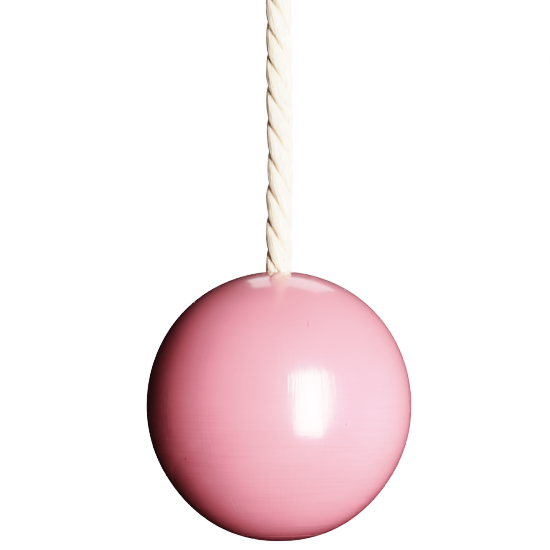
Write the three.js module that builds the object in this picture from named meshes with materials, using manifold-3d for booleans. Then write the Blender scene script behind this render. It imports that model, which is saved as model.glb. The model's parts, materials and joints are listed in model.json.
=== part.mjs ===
// A turned wooden ball, painted, on a three-strand cotton rope that ends in an eye and a swivel bolt snap.
// Millimetres, +Z up. The origin is the point inside the hook that bears on whatever the snap is clipped to.
// The part hangs straight down from there; the hook and the eye of the rope lie in the XZ plane.
import * as THREE from "three";
import { mergeVertices } from "three/addons/utils/BufferGeometryUtils.js";
import Module from "manifold-3d";

const wasm = await Module();
wasm.setup();

// ---- Driving dimensions ----

const GAP = 0.3; // between pieces that touch

// Hook, in the XZ plane. Its crown is an arc whose inside touches the origin.
const HOOK_INNER_RADIUS = 7.5;
const HOOK_WIRE_RADIUS = 2.7;
const HOOK_TIP_ANGLE = -50; // degrees round the crown's arc, 0 pointing along +X
const TIP_FACE_Z = -15.6;

// Barrel and bolt. They stand to the right of the line of pull.
const BOLT_X = 6;
const BOLT_RADIUS = 2.2;
const BOLT_TRAVEL = 7;
const BOLT_COLLAR_RADIUS = 2.9;
const BOLT_COLLAR_TOP_Z = -27.3;
const BOLT_BOTTOM_Z = -32;
const BARREL_RADIUS = 4.9;
const BARREL_TOP_Z = -23;
const CHAMBER_RADIUS = 3.3;
const CHAMBER_TOP_Z = -26;
const CHAMBER_FLOOR_Z = -44;
const STUD_Z = -29.6;
const STUD_RADIUS = 1.25;
const STUD_HEAD_RADIUS = 2.7;
const SPRING_WIRE_RADIUS = 0.25;
const SPRING_RADIUS = 2.4;
const SPRING_TURNS = 6.5;

// Swivel: a ring in the YZ plane, whose shank runs up through the base of the snap and is headed over.
const BASE_RADIUS = 5.6;
const BASE_BOTTOM_Z = -55;
const BASE_FLOOR_Z = -50.6;
const WINDOW_TOP_Z = -47.2;
const SHANK_RADIUS = 2.2;
const RING_RADIUS = 10.3;
const RING_WIRE_RADIUS = 2.3;
const RING_Z = -68.9;

// Rope and its eye.
const ROPE_RADIUS = 4;
const EYE_Z = -88.1; // centre of the crown of the eye
const LEG_SPACING = 9.2; // between the standing part and the tail, where they are bound together
const THIMBLE_WALL = 1.2;
const THIMBLE_END = -27.5; // below EYE_Z
const SEIZING_TOP = -40; // below EYE_Z
const SEIZING_HEIGHT = 20;
const SEIZING_TWINE = 1.5;
const TAIL_END = -70; // below EYE_Z
const TAIL_WHIPPING_HEIGHT = 8;
const WHIPPING_TWINE = 0.45;
const BEND_Z = -162.1; // where the eye's stretch of rope ends and the free line starts

// Ball: a shade taller than it is wide, with a small flat underneath.
const BALL_Z = -286;
const BALL_RADIUS = 40; // at its widest
const BALL_TOP_GROWTH = 0.65; // how much further the top is from the centre than the waist is
const BALL_BOTTOM_GROWTH = 0.85;
const BALL_FLAT_DEPTH = 40.37; // below the centre
const BORE_RADIUS = 4.6;
const POCKET_RADIUS = 12.5;
const POCKET_ROOF = -6; // below the centre, as are the depths that follow
const PLUG_SEAT = -35;
const PLUG_RADIUS = 15;

// Washer, knot and the rope's cut end, inside the pocket.
const WASHER_RADIUS = 11.5;
const WASHER_THICKNESS = 1.6;
const KNOT_RADIUS = 10.8;
const KNOT_HEIGHT = 17;
const STUB_LENGTH = 6.2;

// ---- Materials ----

function paint(color, roughness, metalness) {
  return new THREE.MeshStandardMaterial({ color, roughness, metalness });
}
const pinkPaint = paint(0xc9566b, 0.2, 0);
const cotton = paint(0xe9dfcf, 0.95, 0);
const twine = paint(0xd8c6a2, 0.9, 0);
const nickel = paint(0xc9c6bf, 0.25, 1);
const zincPlate = paint(0xb4b8ba, 0.4, 1);

// ---- Solids ----

function toSolid(geometry) {
  const bare = geometry.index ? geometry.toNonIndexed() : geometry.clone();
  bare.deleteAttribute("normal");
  bare.deleteAttribute("uv");
  const merged = mergeVertices(bare, 1e-4);
  const vertProperties = merged.attributes.position.array;
  const triVerts = new Uint32Array(merged.index.array);
  return new wasm.Manifold(new wasm.Mesh({ numProp: 3, vertProperties, triVerts }));
}

function toGeometry(solid) {
  const { vertProperties, triVerts } = solid.getMesh();
  const geometry = new THREE.BufferGeometry();
  geometry.setAttribute("position", new THREE.BufferAttribute(new Float32Array(vertProperties), 3));
  geometry.setIndex(new THREE.BufferAttribute(new Uint32Array(triVerts), 1));
  return geometry;
}

// A solid of revolution about a vertical line at x; the profile is [radius, z] pairs, bottom to top outside.
function turned(profile, segments, x = 0) {
  const points = profile.map(([radius, z]) => new THREE.Vector2(radius, z));
  return new THREE.LatheGeometry(points, segments).rotateX(Math.PI / 2).translate(x, 0, 0);
}

function rod(radius, bottom, top, segments, x = 0) {
  return turned([[0, bottom], [radius, bottom], [radius, top], [0, top]], segments, x);
}

function tube(inner, outer, bottom, top, segments, x = 0) {
  const profile = [[inner, bottom], [outer, bottom], [outer, top], [inner, top], [inner, bottom]];
  return turned(profile, segments, x);
}

function block(low, high) {
  const [x, y, z] = high.map((value, i) => value - low[i]);
  const middle = low.map((value, i) => (value + high[i]) / 2);
  return new THREE.BoxGeometry(x, y, z).translate(...middle);
}

// A section swept along a curve in the XZ plane. The section's +y points to the right of travel.
function swept(section, curve, steps, curveSegments = 3) {
  return new THREE.ExtrudeGeometry(section, { steps, curveSegments, extrudePath: curve });
}

function disc(radius, sides) {
  const shape = new THREE.Shape();
  for (let i = 0; i < sides; i += 1) {
    const angle = (2 * Math.PI * i) / sides;
    const move = i === 0 ? "moveTo" : "lineTo";
    shape[move](radius * Math.cos(angle), radius * Math.sin(angle));
  }
  shape.closePath();
  return shape;
}

function smooth(points) {
  return new THREE.CatmullRomCurve3(points.map(([x, z]) => new THREE.Vector3(x, 0, z)));
}

// The stretch of a curve whose points lie above z.
function above(curve, z) {
  return new THREE.CatmullRomCurve3(curve.getSpacedPoints(300).filter((point) => point.z > z));
}

function arcPoints(radius, centreZ, fromAngle, toAngle, count) {
  return Array.from({ length: count + 1 }, (_, i) => {
    const angle = THREE.MathUtils.degToRad(fromAngle + ((toAngle - fromAngle) * i) / count);
    return [radius * Math.cos(angle), centreZ + radius * Math.sin(angle)];
  });
}

function smoothstep(value, low, high) {
  return THREE.MathUtils.smoothstep(value, low, high);
}

// ---- Snap ----

function snapBody() {
  const hookRadius = HOOK_INNER_RADIUS + HOOK_WIRE_RADIUS;
  const spine = [[0, -48], [-2.6, -41.5], [-5.9, -34], [-8.7, -26], [-9.9, -18]];
  const crown = arcPoints(hookRadius, -HOOK_INNER_RADIUS, 180, HOOK_TIP_ANGLE, 12);
  const hook = toSolid(swept(disc(HOOK_WIRE_RADIUS, 14), smooth([...spine, ...crown]), 40));
  const belowTip = block([0, -5, -23], [16, 5, TIP_FACE_Z]);

  const chamfer = 0.8;
  const barrelProfile = [
    [0, CHAMBER_FLOOR_Z - 3],
    [BARREL_RADIUS, CHAMBER_FLOOR_Z - 3],
    [BARREL_RADIUS, BARREL_TOP_Z - chamfer],
    [BARREL_RADIUS - chamfer, BARREL_TOP_Z],
    [0, BARREL_TOP_Z],
  ];
  const barrel = toSolid(turned(barrelProfile, 28, BOLT_X));
  const baseProfile = [
    [0, BASE_BOTTOM_Z],
    [BASE_RADIUS - chamfer, BASE_BOTTOM_Z],
    [BASE_RADIUS, BASE_BOTTOM_Z + chamfer],
    [BASE_RADIUS, WINDOW_TOP_Z + 2.2],
    [BASE_RADIUS - 3, WINDOW_TOP_Z + 5.4],
    [0, WINDOW_TOP_Z + 5.4],
  ];
  const base = toSolid(turned(baseProfile, 28));

  // The web that carries the barrel's foot across to the base.
  const web = new THREE.Shape();
  web.moveTo(0, BASE_BOTTOM_Z + 2);
  web.lineTo(BASE_RADIUS - 0.6, BASE_BOTTOM_Z + 2);
  web.lineTo(BOLT_X + BARREL_RADIUS - 0.4, CHAMBER_FLOOR_Z - 3.4);
  web.lineTo(BOLT_X + BARREL_RADIUS - 0.4, CHAMBER_FLOOR_Z + 1);
  web.lineTo(0, CHAMBER_FLOOR_Z + 1);
  web.closePath();
  const webDepth = 6.4;
  const webPlate = new THREE.ExtrudeGeometry(web, { depth: webDepth, bevelEnabled: false });
  const webSolid = toSolid(webPlate.rotateX(Math.PI / 2).translate(0, webDepth / 2, 0));

  const guide = rod(BOLT_RADIUS + GAP, CHAMBER_TOP_Z - 1, BARREL_TOP_Z + 1, 24, BOLT_X);
  const chamber = rod(CHAMBER_RADIUS, CHAMBER_FLOOR_Z, CHAMBER_TOP_Z, 24, BOLT_X);
  const slotReach = STUD_RADIUS + GAP;
  const slotLow = [BOLT_X, -slotReach, STUD_Z - BOLT_TRAVEL - slotReach];
  const slot = block(slotLow, [BOLT_X + 8, slotReach, STUD_Z + slotReach]);
  const window = block([-3.8, -8, BASE_FLOOR_Z], [3.8, 8, WINDOW_TOP_Z]);
  const shankHole = rod(SHANK_RADIUS + GAP, BASE_BOTTOM_Z - 1, BASE_FLOOR_Z + 1, 24);
  const cuts = [guide, chamber, slot, window, shankHole];

  const joined = hook.subtract(toSolid(belowTip)).add(barrel).add(base).add(webSolid);
  return toGeometry(cuts.reduce((solid, cut) => solid.subtract(toSolid(cut)), joined));
}

function snapBolt() {
  const top = TIP_FACE_Z - GAP;
  const profile = [
    [0, BOLT_BOTTOM_Z],
    [BOLT_COLLAR_RADIUS, BOLT_BOTTOM_Z],
    [BOLT_COLLAR_RADIUS, BOLT_COLLAR_TOP_Z],
    [BOLT_RADIUS, BOLT_COLLAR_TOP_Z],
    [BOLT_RADIUS, top - 0.6],
    [BOLT_RADIUS - 0.6, top],
    [0, top],
  ];
  const bolt = toSolid(turned(profile, 24, BOLT_X));
  const hole = rod(STUD_RADIUS + GAP, BOLT_X, BOLT_X + 4, 16).rotateY(Math.PI / 2);
  return toGeometry(bolt.subtract(toSolid(hole.translate(0, 0, STUD_Z))));
}

function thumbStud() {
  const inner = BOLT_X + GAP;
  const neck = BOLT_X + BARREL_RADIUS + 2 * GAP;
  const head = neck + 3;
  const profile = [
    [0, inner],
    [STUD_RADIUS, inner],
    [STUD_RADIUS, neck],
    [STUD_HEAD_RADIUS - 0.5, neck],
    [STUD_HEAD_RADIUS, neck + 0.6],
    [STUD_HEAD_RADIUS, head - 0.8],
    [STUD_HEAD_RADIUS - 0.8, head],
    [0, head],
  ];
  return turned(profile, 20).rotateY(Math.PI / 2).translate(0, 0, STUD_Z);
}

class Helix extends THREE.Curve {
  constructor(radius, bottom, top, turns, x) {
    super();
    Object.assign(this, { radius, bottom, top, turns, x });
  }
  getPoint(t, target = new THREE.Vector3()) {
    const angle = 2 * Math.PI * this.turns * t;
    const z = THREE.MathUtils.lerp(this.bottom, this.top, t);
    return target.set(this.x + this.radius * Math.cos(angle), this.radius * Math.sin(angle), z);
  }
}

function boltSpring() {
  const bottom = CHAMBER_FLOOR_Z + GAP + SPRING_WIRE_RADIUS;
  const top = BOLT_BOTTOM_Z - GAP - SPRING_WIRE_RADIUS;
  const coil = new Helix(SPRING_RADIUS, bottom, top, SPRING_TURNS, BOLT_X);
  return swept(disc(SPRING_WIRE_RADIUS, 6), coil, Math.round(SPRING_TURNS * 12));
}

function swivelEye() {
  const collarTop = BASE_BOTTOM_Z - GAP;
  const collarRadius = 3.9;
  const headRadius = 3.4;
  const headBottom = BASE_FLOOR_Z + GAP;
  const headTop = WINDOW_TOP_Z - 1.2;
  const stem = [
    [0, collarTop - 4],
    [RING_WIRE_RADIUS - 0.3, collarTop - 4],
    [collarRadius, collarTop - 1.7],
    [collarRadius, collarTop],
    [SHANK_RADIUS, collarTop],
    [SHANK_RADIUS, headBottom],
    [headRadius, headBottom],
    [headRadius, headBottom + 0.6],
    [headRadius - 1.4, headTop],
    [0, headTop],
  ];
  const ring = new THREE.TorusGeometry(RING_RADIUS, RING_WIRE_RADIUS, 14, 44);
  const ringSolid = toSolid(ring.rotateY(Math.PI / 2).translate(0, 0, RING_Z));
  return toGeometry(toSolid(turned(stem, 24)).add(ringSolid));
}

// ---- Rope, eye and thimble ----

// The middle of the rope as [x, z] with z counted from EYE_Z: up the standing part, over the crown, down the tail.
const EYE_ROUTE = [
  [0, -74],
  [0, -66],
  [0, -58],
  [0, -50],
  [0, -43],
  [0, -38],
  [-0.7, -32],
  [-3, -26],
  [-8.5, -19],
  [-14, -12],
  [-16.3, -6],
  [-17, 0],
  [-15.7, 6.5],
  [-12, 12],
  [-6.5, 15.7],
  [0, 17],
  [6.5, 15.7],
  [12, 12],
  [15.7, 6.5],
  [17, 0],
  [16.6, -6],
  [15.5, -12],
  [13.1, -19],
  [10.7, -26],
  [9.6, -32],
  [LEG_SPACING, -38],
  [LEG_SPACING, -43],
  [LEG_SPACING, -50],
  [LEG_SPACING, -60],
  [LEG_SPACING, TAIL_END],
];
const eyeCurve = smooth(EYE_ROUTE.map(([x, z]) => [x, z + EYE_Z]));

function ropeEye() {
  return swept(disc(ROPE_RADIUS, 12), eyeCurve, 44);
}

function ropeLine() {
  const bottom = BALL_Z + BALL_RADIUS + BALL_TOP_GROWTH;
  const top = BEND_Z - GAP;
  const line = new THREE.LineCurve3(new THREE.Vector3(0, 0, bottom), new THREE.Vector3(0, 0, top));
  return swept(disc(ROPE_RADIUS, 12), line, 5);
}

// A groove that wraps the inner half of the rope, round the crown and part of the way down both legs.
function thimbleChannel() {
  const inner = ROPE_RADIUS + GAP;
  const outer = inner + THIMBLE_WALL;
  const lip = THREE.MathUtils.degToRad(14);
  const groove = new THREE.Shape();
  groove.absarc(0, 0, outer, lip, Math.PI - lip, false);
  groove.absarc(0, 0, inner, Math.PI - lip, lip, true);
  groove.closePath();
  return swept(groove, above(eyeCurve, EYE_Z + THIMBLE_END), 34, 8);
}

function roundedSlot(path, radius, spacing) {
  path.absarc(spacing, 0, radius, -Math.PI / 2, Math.PI / 2, false);
  path.absarc(0, 0, radius, Math.PI / 2, (3 * Math.PI) / 2, false);
  path.closePath();
  return path;
}

function eyeSeizing() {
  const inner = ROPE_RADIUS + GAP;
  const band = roundedSlot(new THREE.Shape(), inner + SEIZING_TWINE, LEG_SPACING);
  band.holes.push(roundedSlot(new THREE.Path(), inner, LEG_SPACING));
  const wrap = { depth: SEIZING_HEIGHT, bevelEnabled: false, curveSegments: 10 };
  const bottom = EYE_Z + SEIZING_TOP - SEIZING_HEIGHT;
  return new THREE.ExtrudeGeometry(band, wrap).translate(0, 0, bottom);
}

function whipping(bottom, height, x) {
  const inner = ROPE_RADIUS + GAP;
  return tube(inner, inner + WHIPPING_TWINE, bottom, bottom + height, 20, x);
}

// ---- Ball and what it hangs on ----

// Distance from the ball's centre to its surface, at an elevation in degrees.
function ballReach(elevation) {
  if (elevation > 0) return BALL_RADIUS + BALL_TOP_GROWTH * smoothstep(elevation, 0, 60);
  return BALL_RADIUS + BALL_BOTTOM_GROWTH * smoothstep(-elevation, 30, 72);
}

// [radius, z] points down the outside, between two radii measured from the ball's axis.
function ballSkin(topRadius, bottomRadius, steps) {
  const topEdge = 90 - THREE.MathUtils.radToDeg(Math.asin(topRadius / ballReach(90)));
  const bottomEdge = -90 + THREE.MathUtils.radToDeg(Math.asin(bottomRadius / ballReach(-90)));
  return Array.from({ length: steps + 1 }, (_, i) => {
    const elevation = topEdge + ((bottomEdge - topEdge) * i) / steps;
    const angle = THREE.MathUtils.degToRad(elevation);
    const reach = ballReach(elevation);
    return [reach * Math.cos(angle), BALL_Z + reach * Math.sin(angle)];
  });
}

function ball() {
  const skin = ballSkin(BORE_RADIUS + 0.3, PLUG_RADIUS, 26).reverse();
  const mouthZ = skin[skin.length - 1][1];
  const seat = BALL_Z + PLUG_SEAT;
  const roof = BALL_Z + POCKET_ROOF;
  const profile = [
    [POCKET_RADIUS, roof],
    [POCKET_RADIUS, seat],
    [PLUG_RADIUS, seat],
    ...skin,
    [BORE_RADIUS, mouthZ - 0.3],
    [BORE_RADIUS, roof],
    [POCKET_RADIUS, roof],
  ];
  return turned(profile, 56);
}

function ballPlug() {
  const flatZ = BALL_Z - BALL_FLAT_DEPTH;
  const flatRadius = Math.sqrt(ballReach(-90) ** 2 - BALL_FLAT_DEPTH ** 2);
  const rim = PLUG_RADIUS - GAP;
  const skin = [flatRadius, (flatRadius + rim) / 2, rim].map((radius) => {
    return [radius, BALL_Z - Math.sqrt(ballReach(-80) ** 2 - radius ** 2)];
  });
  const top = BALL_Z + PLUG_SEAT - GAP;
  return turned([[0, flatZ], [flatRadius, flatZ], ...skin.slice(1), [rim, top], [0, top]], 40);
}

function knotWasher() {
  const top = BALL_Z + POCKET_ROOF - GAP;
  return tube(ROPE_RADIUS + 0.5, WASHER_RADIUS, top - WASHER_THICKNESS, top, 32);
}

const knotTop = BALL_Z + POCKET_ROOF - 2 * GAP - WASHER_THICKNESS;
const knotBottom = knotTop - KNOT_HEIGHT;

function stopperKnot() {
  const shoulder = 4;
  const profile = [
    [0, knotBottom],
    [KNOT_RADIUS - shoulder, knotBottom],
    [KNOT_RADIUS - 1, knotBottom + shoulder - 1],
    [KNOT_RADIUS, knotBottom + shoulder + 1.5],
    [KNOT_RADIUS, knotTop - shoulder - 1.5],
    [KNOT_RADIUS - 1, knotTop - shoulder + 1],
    [KNOT_RADIUS - shoulder, knotTop],
    [0, knotTop],
  ];
  return turned(profile, 24);
}

function ropeCore() {
  const top = BALL_Z + BALL_RADIUS + BALL_TOP_GROWTH - GAP;
  return rod(ROPE_RADIUS, knotTop + GAP, top, 12);
}

function ropeStub() {
  return rod(ROPE_RADIUS, knotBottom - GAP - STUB_LENGTH, knotBottom - GAP, 12);
}

// ---- Assembly ----

function piece(name, geometry, material) {
  const mesh = new THREE.Mesh(geometry, material);
  mesh.name = name;
  return mesh;
}

const snap = new THREE.Group();
snap.add(
  piece("snap_body", snapBody(), nickel),
  piece("snap_bolt", snapBolt(), nickel),
  piece("thumb_stud", thumbStud(), nickel),
  piece("bolt_spring", boltSpring(), zincPlate),
  piece("swivel_eye", swivelEye(), nickel),
);

const tailWhippingBottom = EYE_Z + TAIL_END + GAP;
const tether = new THREE.Group();
tether.add(
  piece("thimble", thimbleChannel(), zincPlate),
  piece("rope_eye", ropeEye(), cotton),
  piece("eye_seizing", eyeSeizing(), twine),
  piece("tail_whipping", whipping(tailWhippingBottom, TAIL_WHIPPING_HEIGHT, LEG_SPACING), twine),
  piece("rope_line", ropeLine(), cotton),
);

const stubWhippingBottom = knotBottom - STUB_LENGTH;
const ballEnd = new THREE.Group();
ballEnd.add(
  piece("ball", ball(), pinkPaint),
  piece("ball_plug", ballPlug(), pinkPaint),
  piece("knot_washer", knotWasher(), zincPlate),
  piece("rope_core", ropeCore(), cotton),
  piece("stopper_knot", stopperKnot(), cotton),
  piece("rope_stub", ropeStub(), cotton),
  piece("knot_whipping", whipping(stubWhippingBottom, STUB_LENGTH - 1, 0), twine),
);

const group = new THREE.Group();
group.add(snap, tether, ballEnd);
export default group;
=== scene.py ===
"""A painted wooden ball on a three-strand cotton rope, with its eye, thimble and swivel bolt snap.

Metres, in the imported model's frame: +Z up, the origin where the hook bears, the hook and the eye in the XZ
plane.
"""
import json
import math

import bmesh
import bpy
import numpy as np
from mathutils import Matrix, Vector


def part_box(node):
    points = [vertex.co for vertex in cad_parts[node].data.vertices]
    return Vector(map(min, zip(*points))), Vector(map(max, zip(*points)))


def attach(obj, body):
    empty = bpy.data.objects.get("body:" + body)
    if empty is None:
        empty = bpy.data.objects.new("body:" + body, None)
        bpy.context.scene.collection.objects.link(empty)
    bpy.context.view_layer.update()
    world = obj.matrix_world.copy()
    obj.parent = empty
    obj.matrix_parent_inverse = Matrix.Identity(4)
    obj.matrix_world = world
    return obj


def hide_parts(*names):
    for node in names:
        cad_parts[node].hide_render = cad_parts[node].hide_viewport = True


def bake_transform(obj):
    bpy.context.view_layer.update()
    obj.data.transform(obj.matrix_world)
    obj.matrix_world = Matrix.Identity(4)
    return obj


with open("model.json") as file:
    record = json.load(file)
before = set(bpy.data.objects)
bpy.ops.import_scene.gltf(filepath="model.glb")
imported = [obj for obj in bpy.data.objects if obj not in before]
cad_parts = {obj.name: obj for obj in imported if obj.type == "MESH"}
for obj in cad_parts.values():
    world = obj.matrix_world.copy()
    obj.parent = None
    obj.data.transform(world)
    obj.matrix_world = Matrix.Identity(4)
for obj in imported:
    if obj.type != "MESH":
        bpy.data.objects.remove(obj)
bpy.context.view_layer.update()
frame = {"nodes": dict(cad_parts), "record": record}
JOINTS = {joint["name"]: joint for joint in frame["record"]["behaviour"]["joints"]}
MM = 0.001
GAP = 0.3 * MM  # between pieces that touch

# ---- Places and sizes from the frame ----

BALL_CENTRE = np.array(JOINTS["ball_turn"]["pos_m"])
BALL_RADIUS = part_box("ball")[1].x
BALL_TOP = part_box("rope_line")[0].z
PLUG_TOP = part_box("ball_plug")[1].z
PLUG_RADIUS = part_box("ball_plug")[1].x
BALL_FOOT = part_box("ball_plug")[0].z
ROPE_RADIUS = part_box("rope_line")[1].x
KNOT_LOW, KNOT_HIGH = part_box("stopper_knot")
STUB_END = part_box("rope_stub")[0].z
TAIL_LOW, TAIL_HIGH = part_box("tail_whipping")
TAIL_X = (TAIL_LOW.x + TAIL_HIGH.x) / 2
SEIZING_LOW, SEIZING_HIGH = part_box("eye_seizing")
BOLT_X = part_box("snap_bolt")[0].x / 2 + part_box("snap_bolt")[1].x / 2
SPRING_LOW, SPRING_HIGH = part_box("bolt_spring")
RING_Z = JOINTS["eye_swing"]["pos_m"][2]  # the middle of the ring's lowest wire


# ---- Camera ----

def add_camera():
    """A long lens, level with a point a little above the ball."""
    view_width = 165.7 * MM
    left_of_ball, above_ball = 1.2 * MM, 39.4 * MM
    lens, sensor = 200, 36
    camera = bpy.data.objects.new("camera", bpy.data.cameras.new("camera"))
    camera.data.lens = lens
    camera.data.sensor_width = sensor
    distance = view_width * lens / sensor
    aim = Vector((-left_of_ball, 0, BALL_CENTRE[2] + above_ball))
    camera.location = aim - Vector((0, distance, 0))
    camera.rotation_euler = (math.pi / 2, 0, 0)
    bpy.context.scene.collection.objects.link(camera)
    bpy.context.scene.camera = camera


# ---- Lines ----

def smooth_line(points, per_span=24):
    """Many points on a Catmull-Rom curve through the given ones."""
    points = np.array(points, float)
    ends = 2 * points[0] - points[1], 2 * points[-1] - points[-2]
    held = np.vstack([ends[0], points, ends[1]])
    t = np.linspace(0, 1, per_span, endpoint=False)[:, None]
    spans = []
    for a, b, c, d in zip(held, held[1:], held[2:], held[3:]):
        curve = 2 * b + (c - a) * t + (2 * a - 5 * b + 4 * c - d) * t**2 + (3 * b - a - 3 * c + d) * t**3
        spans.append(curve / 2)
    return np.vstack([*spans, points[-1:]])


def evenly(points, step):
    """The same line with its points a step apart, and their distance along it."""
    steps = np.linalg.norm(np.diff(points, axis=0), axis=1)
    along = np.concatenate([[0], np.cumsum(steps)])
    at = np.linspace(0, along[-1], max(3, round(along[-1] / step) + 1))
    return np.stack([np.interp(at, along, points[:, axis]) for axis in range(3)], 1), at


def frames_along(points, first_normal):
    """Two unit normals at each point, which follow the line without twisting."""
    tangents = np.gradient(points, axis=0)
    tangents /= np.linalg.norm(tangents, axis=1, keepdims=True)
    normals = np.empty_like(tangents)
    normal = np.array(first_normal, float)
    for i, tangent in enumerate(tangents):
        normal = normal - tangent * normal.dot(tangent)
        normal /= np.linalg.norm(normal)
        normals[i] = normal
    return normals, np.cross(tangents, normals), tangents


def wander(along, spacing, rng):
    """Smooth random numbers from -1 to 1 along a line, a new one every spacing."""
    knots = rng.uniform(-1, 1, int(along.max() / spacing) + 3)
    place = along / spacing
    before = np.floor(place).astype(int)
    t = place - before
    t = t * t * (3 - 2 * t)
    return knots[before] * (1 - t) + knots[before + 1] * t


# ---- Meshes ----

class Shell:
    """Points and faces that are gathered and then made into one mesh, with values for its material."""

    def __init__(self):
        self.points, self.faces, self.values, self.count = [], [], {}, 0

    def grid(self, points, wrap_rows=False, **values):
        """A tube of rings of points, one to a row. wrap_rows joins the last ring to the first."""
        rows, columns, _ = points.shape
        numbers = np.arange(rows * columns).reshape(rows, columns) + self.count
        numbers = np.hstack([numbers, numbers[:, :1]])
        if wrap_rows:
            numbers = np.vstack([numbers, numbers[:1]])
        corners = numbers[:-1, :-1], numbers[:-1, 1:], numbers[1:, 1:], numbers[1:, :-1]
        self.faces.extend(np.stack(corners, 2).reshape(-1, 4).tolist())
        self._add(points.reshape(-1, 3), values)

    def cap(self, ring, centre, **values):
        """A fan of triangles from a ring, anticlockwise as seen from outside, to its centre."""
        numbers = np.arange(len(ring)) + self.count
        middle = self.count + len(ring)
        self.faces.extend([[int(a), int(b), middle] for a, b in zip(numbers, np.roll(numbers, -1))])
        self._add(np.vstack([ring, centre]), values)

    def _add(self, points, values):
        self.points.append(points)
        self.count += len(points)
        for name, value in values.items():
            self.values.setdefault(name, []).append(value.reshape(len(points), -1))

    def make(self, name, material, merge=True):
        mesh = bpy.data.meshes.new(name)
        mesh.from_pydata(np.vstack(self.points).tolist(), [], self.faces)
        for key, parts in self.values.items():
            value = np.vstack(parts)
            kind, field = ("FLOAT", "value") if value.shape[1] == 1 else ("FLOAT_VECTOR", "vector")
            mesh.attributes.new(key, kind, "POINT").data.foreach_set(field, value.ravel())
        made = bpy.data.objects.new(name, mesh)
        bpy.context.scene.collection.objects.link(made)
        if merge:
            weld(mesh)
        mesh.shade_smooth()
        if material:
            mesh.materials.append(material)
        return made


def weld(mesh):
    """Joins points that lie together, so that a grid that closes to a point or on itself has no seam."""
    work = bmesh.new()
    work.from_mesh(mesh)
    bmesh.ops.remove_doubles(work, verts=work.verts, dist=1e-7)
    bmesh.ops.dissolve_degenerate(work, edges=work.edges, dist=1e-8)
    bmesh.ops.recalc_face_normals(work, faces=work.faces)
    work.to_mesh(mesh)
    work.free()


def turned(shell, profile, segments, centre_x=0):
    """Adds a solid of revolution about a vertical line. profile is (radius, height)."""
    angles = np.linspace(0, 2 * np.pi, segments, endpoint=False)
    radius, height = np.array(profile, float).T
    x, y = radius[:, None] * np.cos(angles) + centre_x, radius[:, None] * np.sin(angles)
    shell.grid(np.stack([x, y, np.repeat(height[:, None], segments, 1)], 2))


def rod(shell, radius, low, high, centre_x=0):
    """Adds a round rod that stands upright."""
    turned(shell, [(0, low), (radius, low), (radius, high), (0, high)], 64, centre_x)


def rounded(profile, radius, steps=5):
    """The profile with its corners cut back by the radius and rounded, or by less where a side is short."""
    points = [np.array(point, float) for point in profile]
    made = [points[0]]
    for ahead, corner, behind in zip(points, points[1:], points[2:]):
        before, after = ahead - corner, behind - corner
        reach = min(radius, np.linalg.norm(before) * 0.45, np.linalg.norm(after) * 0.45)
        start = corner + before / np.linalg.norm(before) * reach
        end = corner + after / np.linalg.norm(after) * reach
        for t in np.linspace(0, 1, steps):
            made.append(start * (1 - t) ** 2 + corner * 2 * t * (1 - t) + end * t**2)
    return [*made, points[-1]]


def swept(shell, section, line):
    """Adds a closed section swept along a line: (across, out) pairs, or one set of pairs for each point."""
    across, out, _ = frames_along(line, (1, 0, 0))
    section = np.array(section, float)
    if section.ndim == 2:
        section = np.repeat(section[None], len(line), 0)
    points = line[:, None] + section[..., :1] * across[:, None] + section[..., 1:] * out[:, None]
    capped(shell, points)


def capped(shell, points):
    """Adds a tube of rings and closes both its ends."""
    shell.grid(points)
    shell.cap(points[0][::-1], points[0].mean(0))
    shell.cap(points[-1], points[-1].mean(0))


def circle(radius, sides):
    angles = np.linspace(0, 2 * np.pi, sides, endpoint=False)
    return np.stack([radius * np.cos(angles), radius * np.sin(angles)], 1)


def block(shell, low, high):
    """Adds a box."""
    (x0, y0, z0), (x1, y1, z1) = low, high
    ring = np.array([[x0, y0], [x1, y0], [x1, y1], [x0, y1]])
    capped(shell, np.array([[[x, y, z] for x, y in ring] for z in (z0, z1)]))


def modified(thing, kind, **settings):
    """Adds one modifier and applies it."""
    modifier = thing.modifiers.new(kind, kind)
    for key, value in settings.items():
        setattr(modifier, key, value)
    graph = bpy.context.evaluated_depsgraph_get()
    done = bpy.data.meshes.new_from_object(thing.evaluated_get(graph))
    thing.modifiers.clear()
    old = thing.data
    thing.data = done
    bpy.data.meshes.remove(old)
    thing.data.shade_smooth()


def fused(shell, name, material, voxel, softness, cuts=None):
    """One smooth casting from overlapping solids: fused, softened, then cut and its edges broken."""
    cast = shell.make(name, material)
    modified(cast, "REMESH", mode="VOXEL", voxel_size=voxel)
    modified(cast, "SMOOTH", factor=0.5, iterations=softness)
    if cuts:
        tools = [tool.make("cut", None) for tool in cuts]
        for tool in tools:
            modified(cast, "BOOLEAN", operation="DIFFERENCE", solver="EXACT", object=tool)
            bpy.data.objects.remove(tool)
        modified(cast, "REMESH", mode="VOXEL", voxel_size=voxel)
        modified(cast, "SMOOTH", factor=0.5, iterations=3)
    cast.data.materials.clear()
    cast.data.materials.append(material)
    return cast


# ---- Materials ----

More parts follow.
